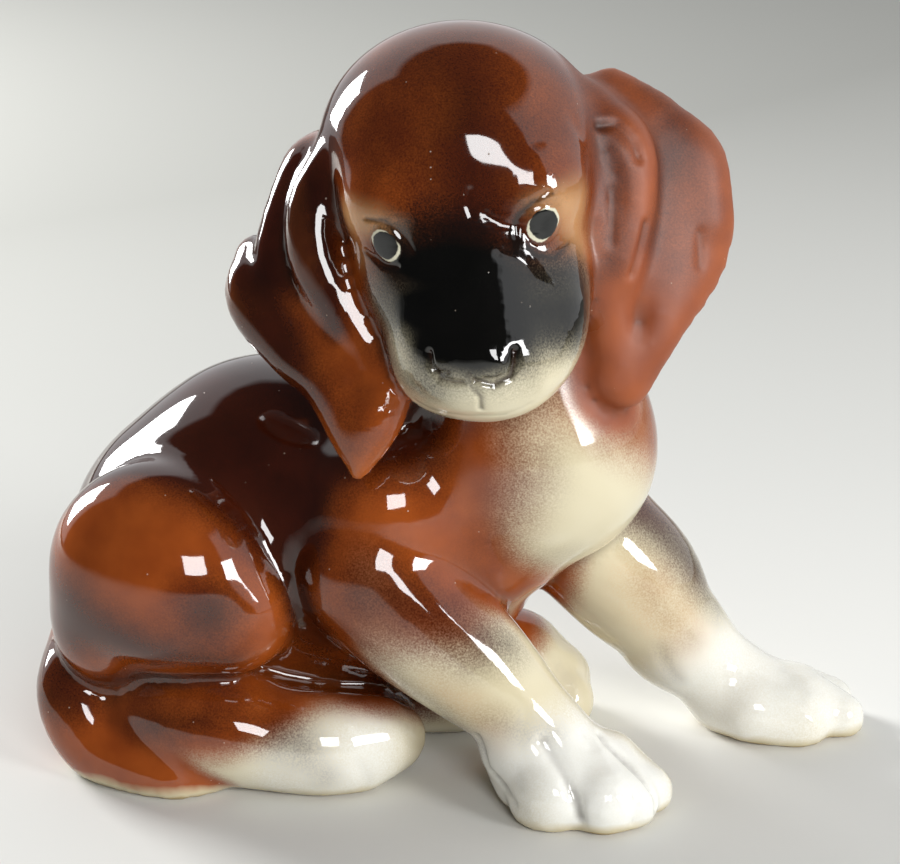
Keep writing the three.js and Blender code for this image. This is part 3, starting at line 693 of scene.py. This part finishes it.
# the broad ear was wiped, so its glaze is thin and satin
THIN = [
    (along(BROAD_EAR, 5), 6, 1), (along(BROAD_EAR_RIM, 5), 6, 1), (along(BROAD_EAR_ROLLS[1], 5), 6, 0.5),
]
BULGE_ROUNDS, BULGE_SHARE = 12, 0.6  # how far round a place its bulge is judged
EDGE_FROM, EDGE_TO, CREASE_FROM, CREASE_TO = 0.12, 0.42, 0.03, 0.25  # bends, per mm

# The casting's mesh, evened and smoothed, its facets halved where the fine carving is
points, quads = skin(puppy, REACH, CELL)
points = settle(puppy, points, CELL, 2, SETTLE_FEEL)
mesh = bpy.data.meshes.new("puppy_casting")
mesh.from_pydata(points.tolist(), [], quads.tolist())
pairs = np.array([e.vertices[:] for e in mesh.edges])
for _ in range(EVENING_ROUNDS):
    points = settle(puppy, even(points, pairs), CELL, 1, SETTLE_FEEL)
points = settle(puppy, points, CELL, 1, SETTLE_FEEL)
ground = np.abs(points[:, 2]) < GROUND
for _ in range(FAIRING_ROUNDS):
    points = faired(points, pairs, 0.5, 0.53)
points[ground, 2] = 0
points[:, 2] = np.maximum(points[:, 2], 0)
mesh.vertices.foreach_set("co", points.ravel())

cut = bmesh.new()
cut.from_mesh(mesh)
for low, high in FINE:
    places = np.array([v.co for v in cut.verts])
    wanted = ((places > low) & (places < high)).all(1)
    chosen = [e for e in cut.edges if wanted[e.verts[0].index] and wanted[e.verts[1].index]]
    bmesh.ops.subdivide_edges(cut, edges=chosen, cuts=1, use_grid_fill=True)
    cut.verts.index_update()
bmesh.ops.recalc_face_normals(cut, faces=cut.faces)
cut.to_mesh(mesh)
cut.free()

# The fine carving, straight in or out of the skin
count = len(mesh.vertices)
flat = np.empty(count * 3)
mesh.vertices.foreach_get("co", flat)
points = flat.reshape(-1, 3).copy()
pairs = np.array([e.vertices[:] for e in mesh.edges])
for _ in range(2):
    points = faired(points, pairs, 0.5, 0.5)
mesh.vertices.foreach_set("co", points.ravel())
mesh.update()
flat = np.empty(count * 3)
mesh.vertices.foreach_get("normal", flat)
facing = flat.reshape(-1, 3)
carved = np.zeros(count)
for path, depth in CARVED:
    carved -= depth * nearness(points, laid(path, points))
for eye in EYES:
    away = np.linalg.norm(points - eye["centre"], axis=1)
    carved += EYE_STANDS * np.clip(1 - (away / eye["dome"]) ** 2, 0, 1)
    carved -= SOCKET * np.exp(-((away - eye["dome"]) / SOCKET_WIDTH) ** 2)
points += facing * carved[:, None]
points = faired(points, pairs, 0.3, 0.3)
points[:, 2] = np.maximum(points[:, 2], 0)
points[np.abs(points[:, 2]) < GROUND, 2] = 0

# How far each place bulges or sinks, per mm, and how densely each colour lies on it
bulge = points
for _ in range(BULGE_ROUNDS):
    bulge = even(bulge, pairs, BULGE_SHARE)
lengths = np.linalg.norm(points[pairs[:, 0]] - points[pairs[:, 1]], axis=1)
about = np.bincount(pairs.ravel(), np.repeat(lengths, 2)) / np.bincount(pairs.ravel())
bulge = ((points - bulge) * facing).sum(1) * 4 / (BULGE_SHARE * BULGE_ROUNDS * about * CELL)
bulge = even(even(bulge[:, None], pairs, BULGE_SHARE), pairs, BULGE_SHARE)[:, 0]
sprays = dict(white=WHITE, brown=BROWN, pale=PALE, dark=DARK, black=BLACK, thin_glaze=THIN,
              lines=[(laid(path, points), fade, cover) for path, fade, cover in LINES])
tones = {name: sprayed(points, strokes) for name, strokes in sprays.items()}
tones["edge"] = np.clip((bulge - EDGE_FROM) / (EDGE_TO - EDGE_FROM), 0, 1)
# how sharply each place sinks, for the painted shade in the creases
tones["crease"] = np.clip((-bulge - CREASE_FROM) / (CREASE_TO - CREASE_FROM), 0, 1)
shift = points.min(0) - FOOTPRINT_MIDDLE, points.max(0) - FOOTPRINT_MIDDLE


def placed(at):
    """From the casting's millimetres into the frame, drawn in by a hair to the frame's own box."""
    size = (np.array(cad_high) - np.array(cad_low)) / (shift[1] - shift[0])
    return np.array(cad_low) + (np.array(at, float) - FOOTPRINT_MIDDLE - shift[0]) * size


mesh.vertices.foreach_set("co", placed(points).ravel())
mesh.update()
mesh.polygons.foreach_set("use_smooth", [True] * len(mesh.polygons))
for name, values in tones.items():
    mesh.attributes.new(name, "FLOAT", "POINT").data.foreach_set("value", values.astype(np.float32))
casting = bpy.data.objects.new("puppy_glazed", mesh)
bpy.context.scene.collection.objects.link(casting)


def linear(colour):
    """sRGB hex to linear."""
    parts = [int(colour[n:n + 2], 16) / 255 for n in (1, 3, 5)]
    return [p / 12.92 if p <= 0.04045 else ((p + 0.055) / 1.055) ** 2.4 for p in parts] + [1.0]


def node(tree, kind, links=None, **settings):
    """Adds one node with its settings and links; a node given as a value links its first output."""
    made = tree.nodes.new(kind)
    for name, value in settings.items():
        setattr(made, name, value)
    for name, value in (links or {}).items():
        if isinstance(value, bpy.types.Node):
            value = next(out for out in value.outputs if out.enabled)
        if isinstance(value, bpy.types.NodeSocket):
            tree.links.new(value, made.inputs[name])
        else:
            made.inputs[name].default_value = linear(value) if isinstance(value, str) else value
    return made


# The glaze: underglaze colours sprayed in dots that thin out at their edges, painted eyes, and over
# them a thin clear gloss, mirror-like, that lies not quite level, with specks of dust fired in.
DOT, MIST, WOBBLE, DRIFT = 2600, 90, 75, 26      # noise scales per metre: 0.4, 11, 13 and 38 mm
GRAIN = 420                                      # 2.4 mm, drawn coarser than the glaze's own grain
BRUSH, WIPED = 900, 160                          # ragged edges: 1.1 mm brush marks, 6 mm wiping marks
DUST = 620                                       # cells per metre, 1.6 mm each; few hold a speck
LEAST, MOST = 0.3, 0.7                           # most of a noise lies between these
DOT_SCATTER, MIST_SCATTER = 0.2, 0.1             # what dots and mist add to a coat or take from it
CREAM, CREAM_WARM, FOOT, SPECK = "#d5cdb2", "#cdc1a0", "#b39f76", "#c9b8a4"
COATS = [("white", "#efefea", "#e6e6df"), ("brown", "#984a1a", "#803911"),
         ("pale", "#d8ae7c", "#cf9a64"), ("dark", "#260b05", "#3a1409"), ("black", "#040403", "#090807")]
EDGE_ORANGE, CREASE_SHADE_BROWN, LINE_AND_GROOVE_SHADE_BROWN = "#b5642c", "#2c1408", "#150c08"
EDGE_COVER, CREASE_SHADE_COVER, SPECK_COVER = 0.5, 0.6, 0.35
EYE_WHITE, PUPIL = "#cfcbb4", "#070808"
RAGGED = 0.00012                                 # half the width of a brushed edge, metres
GLOSS_FROM, GLOSS_TO, DOT_ROUGH = 0.03, 0.06, 0.02
THIN_ROUGH, SPECK_ROUGH, FOOT_ROUGH = 0.48, 0.4, 0.7
GLAZE_IOR = 1.6
WIPE_WANDERS = 0.0006                            # metres, up and down
THINS_FROM, THINS_TO = 0.0034, 0.0012            # heights above the table, metres
BARE_FROM, BARE_TO = 0.0009, 0.0005
SPECK_EDGE, SPECK_FULL = 0.13, 0.09              # reach of a speck, in cells
CHOSEN_FROM, CHOSEN_TO = 0.955, 0.965            # about one cell in 25 holds a speck
WAVE_HIGH, GRAIN_HIGH, SPECK_HIGH = 0.00010, 0.0000025, 0.00002  # metres
glaze = bpy.data.materials.new("clear_gloss_glaze_over_sprayed_colours")
glaze.use_nodes = True
tree = glaze.node_tree
tree.nodes.clear()
place = node(tree, "ShaderNodeTexCoord").outputs["Object"]
lay = {name: node(tree, "ShaderNodeAttribute", attribute_name=name).outputs["Fac"] for name in tones}
fields = {name: node(tree, "ShaderNodeTexNoise", {"Vector": place, "Scale": scale, "Detail": detail})
          for name, scale, detail in (
              ("dots", DOT, 1.0), ("mist", MIST, 3.0), ("drift", DRIFT, 2.0), ("brush", BRUSH, 2.0),
              ("wiped", WIPED, 2.0), ("wobble", WOBBLE, 1.5), ("grain", GRAIN, 1.0))}

# the coats one over the other, each with its dots and mist where it is neither bare nor full
dots = node(tree, "ShaderNodeMapRange", {
    0: fields["dots"], 1: 0.25, 2: 0.75, 3: -DOT_SCATTER, 4: DOT_SCATTER})
mist = node(tree, "ShaderNodeMapRange", {
    0: fields["mist"], 1: LEAST, 2: MOST, 3: -MIST_SCATTER, 4: MIST_SCATTER})
scatter = node(tree, "ShaderNodeMath", {0: dots, 1: mist}, operation="ADD")
warm = node(tree, "ShaderNodeMapRange", {0: fields["drift"], 1: 0.35, 2: 0.65})
colour = node(tree, "ShaderNodeMix", {0: warm, 6: CREAM, 7: CREAM_WARM}, data_type="RGBA")
cloudy = node(tree, "ShaderNodeMapRange", {0: fields["mist"], 1: LEAST, 2: MOST})
for name, main, other in COATS:
    bare = node(tree, "ShaderNodeMath", {0: 1.0, 1: lay[name]}, operation="SUBTRACT")
    loose = node(tree, "ShaderNodeMath", {0: lay[name], 1: bare}, operation="MULTIPLY")
    loose = node(tree, "ShaderNodeMath", {0: loose, 1: 4.0}, operation="MULTIPLY")
    cover = node(tree, "ShaderNodeMath", {0: loose, 1: scatter, 2: lay[name]}, operation="MULTIPLY_ADD",
                 use_clamp=True)
    coat = node(tree, "ShaderNodeMix", {0: cloudy, 6: main, 7: other}, data_type="RGBA")
    colour = node(tree, "ShaderNodeMix", {0: cover, 6: colour, 7: coat}, data_type="RGBA")
# the brush lines, which also paint the shade in the carved grooves
colour = node(tree, "ShaderNodeMix", {0: lay["lines"], 6: colour, 7: LINE_AND_GROOVE_SHADE_BROWN}, data_type="RGBA")

# the brown lies thin on edges, so they show orange, and the creases are darkened, partly by colour
# gathered there and partly as painted shade
worn = node(tree, "ShaderNodeMath", {0: lay["edge"], 1: lay["brown"]}, operation="MULTIPLY")
worn = node(tree, "ShaderNodeMath", {0: worn, 1: EDGE_COVER}, operation="MULTIPLY")
colour = node(tree, "ShaderNodeMix", {0: worn, 6: colour, 7: EDGE_ORANGE}, data_type="RGBA")
crease_shade = node(tree, "ShaderNodeMath", {0: lay["crease"], 1: CREASE_SHADE_COVER}, operation="MULTIPLY")
colour = node(tree, "ShaderNodeMix", {0: crease_shade, 6: colour, 7: CREASE_SHADE_BROWN}, data_type="RGBA")

# the eyes: a white set off to each side in turn, and the pupil over both
ragged = node(tree, "ShaderNodeMapRange", {
    0: fields["brush"], 1: LEAST, 2: MOST, 3: -RAGGED, 4: RAGGED})
for eye in EYES:
    white, lean = eye["pupil"] + WHITE_RING, np.array(eye["lean"])
    for mark, size, off in ((EYE_WHITE, white, lean), (EYE_WHITE, white, -lean),
                            (PUPIL, eye["pupil"], 0 * lean)):
        away = node(tree, "ShaderNodeVectorMath", {0: place, 1: placed(eye["centre"] + off)},
                    operation="DISTANCE")
        away = node(tree, "ShaderNodeMath", {0: away, 1: ragged}, operation="ADD")
        inside = node(tree, "ShaderNodeMapRange",
                      {0: away, 1: size / 1000 + RAGGED, 2: size / 1000 - RAGGED})
        colour = node(tree, "ShaderNodeMix", {0: inside, 6: colour, 7: mark}, data_type="RGBA")

# the foot: glaze wiped thin above the table, and bare clay under the rim
height = node(tree, "ShaderNodeSeparateXYZ", {0: place}).outputs["Z"]
uneven = node(tree, "ShaderNodeMapRange", {
    0: fields["wiped"], 1: LEAST, 2: MOST, 3: -WIPE_WANDERS, 4: WIPE_WANDERS})
height = node(tree, "ShaderNodeMath", {0: height, 1: uneven}, operation="ADD")
wiped = node(tree, "ShaderNodeMapRange", {0: height, 1: THINS_FROM, 2: THINS_TO})
colour = node(tree, "ShaderNodeMix", {0: wiped, 6: colour, 7: CREAM_WARM}, data_type="RGBA")
clay = node(tree, "ShaderNodeMapRange", {0: height, 1: BARE_FROM, 2: BARE_TO})
colour = node(tree, "ShaderNodeMix", {0: clay, 6: colour, 7: FOOT}, data_type="RGBA")

# dust: a dot in the middle of a few of the cells
cells = node(tree, "ShaderNodeTexVoronoi", {"Vector": place, "Scale": DUST})
dot = node(tree, "ShaderNodeMapRange", {0: cells, 1: SPECK_EDGE, 2: SPECK_FULL})
chance = node(tree, "ShaderNodeSeparateColor", {0: cells.outputs["Color"]})
chosen = node(tree, "ShaderNodeMapRange", {0: chance, 1: CHOSEN_FROM, 2: CHOSEN_TO})
speck = node(tree, "ShaderNodeMath", {0: dot, 1: chosen}, operation="MULTIPLY")
dusty = node(tree, "ShaderNodeMath", {0: speck, 1: SPECK_COVER}, operation="MULTIPLY")
colour = node(tree, "ShaderNodeMix", {0: dusty, 6: colour, 7: SPECK}, data_type="RGBA")

# the gloss, duller where the glaze is thin, on the specks and on the clay
gloss = node(tree, "ShaderNodeMapRange", {
    0: fields["drift"], 1: LEAST, 2: MOST, 3: GLOSS_FROM, 4: GLOSS_TO})
dull = node(tree, "ShaderNodeMapRange", {0: fields["dots"], 1: LEAST, 2: MOST, 3: 0.0, 4: DOT_ROUGH})
gloss = node(tree, "ShaderNodeMath", {0: gloss, 1: dull}, operation="ADD")
gloss = node(tree, "ShaderNodeMath", {0: lay["thin_glaze"], 1: THIN_ROUGH, 2: gloss},
             operation="MULTIPLY_ADD")
dull = node(tree, "ShaderNodeMath", {0: speck, 1: SPECK_ROUGH}, operation="MULTIPLY")
gloss = node(tree, "ShaderNodeMath", {0: gloss, 1: dull}, operation="MAXIMUM")
gloss = node(tree, "ShaderNodeMath", {0: clay, 1: FOOT_ROUGH, 2: gloss}, operation="MULTIPLY_ADD")

# its surface: a slow wave, a fine grain, and the specks standing out
wave = node(tree, "ShaderNodeBump", {"Height": fields["wobble"], "Strength": 1.0, "Distance": WAVE_HIGH})
grain = node(tree, "ShaderNodeBump", {
    "Height": fields["grain"], "Strength": 1.0, "Distance": GRAIN_HIGH, "Normal": wave})
dusted = node(tree, "ShaderNodeBump", {
    "Height": speck, "Strength": 1.0, "Distance": SPECK_HIGH, "Normal": grain})
finish = node(tree, "ShaderNodeBsdfPrincipled", {
    "Base Color": colour, "Roughness": gloss, "IOR": GLAZE_IOR, "Normal": dusted})
node(tree, "ShaderNodeOutputMaterial", {"Surface": finish})
mesh.materials.append(glaze)
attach(casting, "root")
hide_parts("puppy")


# Table
# A plain tabletop under pale paper, matt and without gloss, wide enough to fill the picture. Its
# tone falls off slowly away from the puppy, most to the far left, a pool of light painted on the paper.
TABLE_RADIUS = 3.0
POOL_LIT_TONE, PAINTED_FALLOFF_TONE = "#e6e6e2", "#a6a6a1"
SLANT, CLEAR_ROUND = -0.8, 0.3                   # how the fall-off leans to the left, and starts
CLOUD, CLOUD_SCALE = 0.25, 2.2                   # how far it wanders, metres, and how often a metre
FADE_FROM, FADE_TO = -0.03, 0.63                 # metres
PAPER_ROUGH = 0.9
bpy.ops.mesh.primitive_circle_add(vertices=96, radius=TABLE_RADIUS, fill_type="NGON")
table = bpy.context.object
table.name = "table_top"
paper = bpy.data.materials.new("matt_pale_paper_painted_light_pool")
paper.use_nodes = True
tree = paper.node_tree
tree.nodes.clear()
place = node(tree, "ShaderNodeTexCoord").outputs["Object"]
sides = node(tree, "ShaderNodeSeparateXYZ", {0: place}).outputs
slant = node(tree, "ShaderNodeMath", {0: sides["X"], 1: SLANT, 2: sides["Y"]},
             operation="MULTIPLY_ADD")
away = node(tree, "ShaderNodeVectorMath", {0: place}, operation="LENGTH")
away = node(tree, "ShaderNodeMath", {0: away, 1: CLEAR_ROUND}, operation="SUBTRACT")
away = node(tree, "ShaderNodeMath", {0: slant, 1: away}, operation="MAXIMUM")
cloud = node(tree, "ShaderNodeTexNoise", {"Vector": place, "Scale": CLOUD_SCALE, "Detail": 1.0})
away = node(tree, "ShaderNodeMath", {0: cloud, 1: CLOUD, 2: away}, operation="MULTIPLY_ADD")
# the paper's colour darkens here as a painted fall-off of the light
fade = node(tree, "ShaderNodeMapRange", {0: away, 1: FADE_FROM, 2: FADE_TO})
painted_falloff_tone = node(tree, "ShaderNodeMix", {0: fade, 6: POOL_LIT_TONE, 7: PAINTED_FALLOFF_TONE}, data_type="RGBA")
paint = node(tree, "ShaderNodeBsdfPrincipled", {"Base Color": painted_falloff_tone, "Roughness": PAPER_ROUGH})
node(tree, "ShaderNodeOutputMaterial", {"Surface": paint})
table.data.materials.append(paper)


# Light
# Three softboxes, a strong one low behind on the left and two weak ones in front and on the right,
# and pale studio walls behind and on the right; the side of the camera is dim.
AIM = (0, 0, 0.08)
WALL, DIM, BRIGHT = "#e6e8ea", 0.06, 1.22
WALL_TURN, WALL_CURVE = 0.685, 0.215             # the walls stand where y + turn x + curve |x| > 0
SIDE_FROM, SIDE_FULL = -0.02, 0.05               # and begin softly there
TOP_END, TOP_FULL = 0.80, 0.74                   # they end this high, as the sine of the height angle


def softbox(name, direction, far, wide, high, power):
    """Lamp that the camera doesn't see, turned to AIM; metres and watts."""
    lamp = bpy.data.lights.new(name, "AREA")
    lamp.shape, lamp.size, lamp.size_y, lamp.energy = "RECTANGLE", wide, high, power
    made = bpy.data.objects.new(name, lamp)
    bpy.context.scene.collection.objects.link(made)
    way = np.array(direction, float)
    way /= np.linalg.norm(way)
    made.location = np.array(AIM) + way * far
    made.rotation_euler = mathutils.Vector(way).to_track_quat("Z", "Y").to_euler()
    made.visible_camera = False


softbox("softbox_left", (-0.72, 0.62, 0.28), 1.0, 0.32, 0.44, 16)
softbox("softbox_front", (0.21, -0.88, 0.40), 1.1, 0.38, 0.34, 6)
softbox("softbox_right", (0.74, -0.61, 0.28), 1.1, 0.26, 0.34, 6)

world = bpy.data.worlds.new("studio")
bpy.context.scene.world = world
world.use_nodes = True
tree = world.node_tree
tree.nodes.clear()
way = node(tree, "ShaderNodeTexCoord").outputs["Generated"]
sides = node(tree, "ShaderNodeSeparateXYZ", {0: way}).outputs
turn = node(tree, "ShaderNodeMath", {0: sides["X"], 1: WALL_TURN, 2: sides["Y"]},
            operation="MULTIPLY_ADD")
both = node(tree, "ShaderNodeMath", {0: sides["X"]}, operation="ABSOLUTE")
wall = node(tree, "ShaderNodeMath", {0: both, 1: WALL_CURVE, 2: turn}, operation="MULTIPLY_ADD")
wall = node(tree, "ShaderNodeMapRange", {0: wall, 1: SIDE_FROM, 2: SIDE_FULL})
low = node(tree, "ShaderNodeMapRange", {0: sides["Z"], 1: TOP_END, 2: TOP_FULL})
wall = node(tree, "ShaderNodeMath", {0: wall, 1: low}, operation="MULTIPLY")
shade = node(tree, "ShaderNodeMapRange", {0: wall, 3: DIM, 4: BRIGHT})
glow = node(tree, "ShaderNodeBackground", {"Color": WALL, "Strength": shade})
node(tree, "ShaderNodeOutputWorld", {"Surface": glow})


# Camera
# At the photograph's angle, square to the display side and 20 degrees above, with a long lens
# from not far away, so that the near paw looks only a little larger than the far one.
VIEW_ELEVATION = math.radians(20)
VIEW_DISTANCE = 0.650
VIEW_TARGET = np.array([-0.0011, -0.003, 0.075])
LENS, SENSOR = 123.5, 36.0                       # mm
lens = bpy.data.cameras.new("camera")
lens.lens, lens.sensor_width = LENS, SENSOR
camera = bpy.data.objects.new("camera", lens)
bpy.context.scene.collection.objects.link(camera)
camera.location = VIEW_TARGET + VIEW_DISTANCE * np.array(
    [0, -math.cos(VIEW_ELEVATION), math.sin(VIEW_ELEVATION)])
camera.rotation_euler = (math.pi / 2 - VIEW_ELEVATION, 0, 0)
lens.clip_start, lens.clip_end = 0.01, 20
bpy.context.scene.camera = camera
bpy.context.scene.view_settings.view_transform = "Standard"
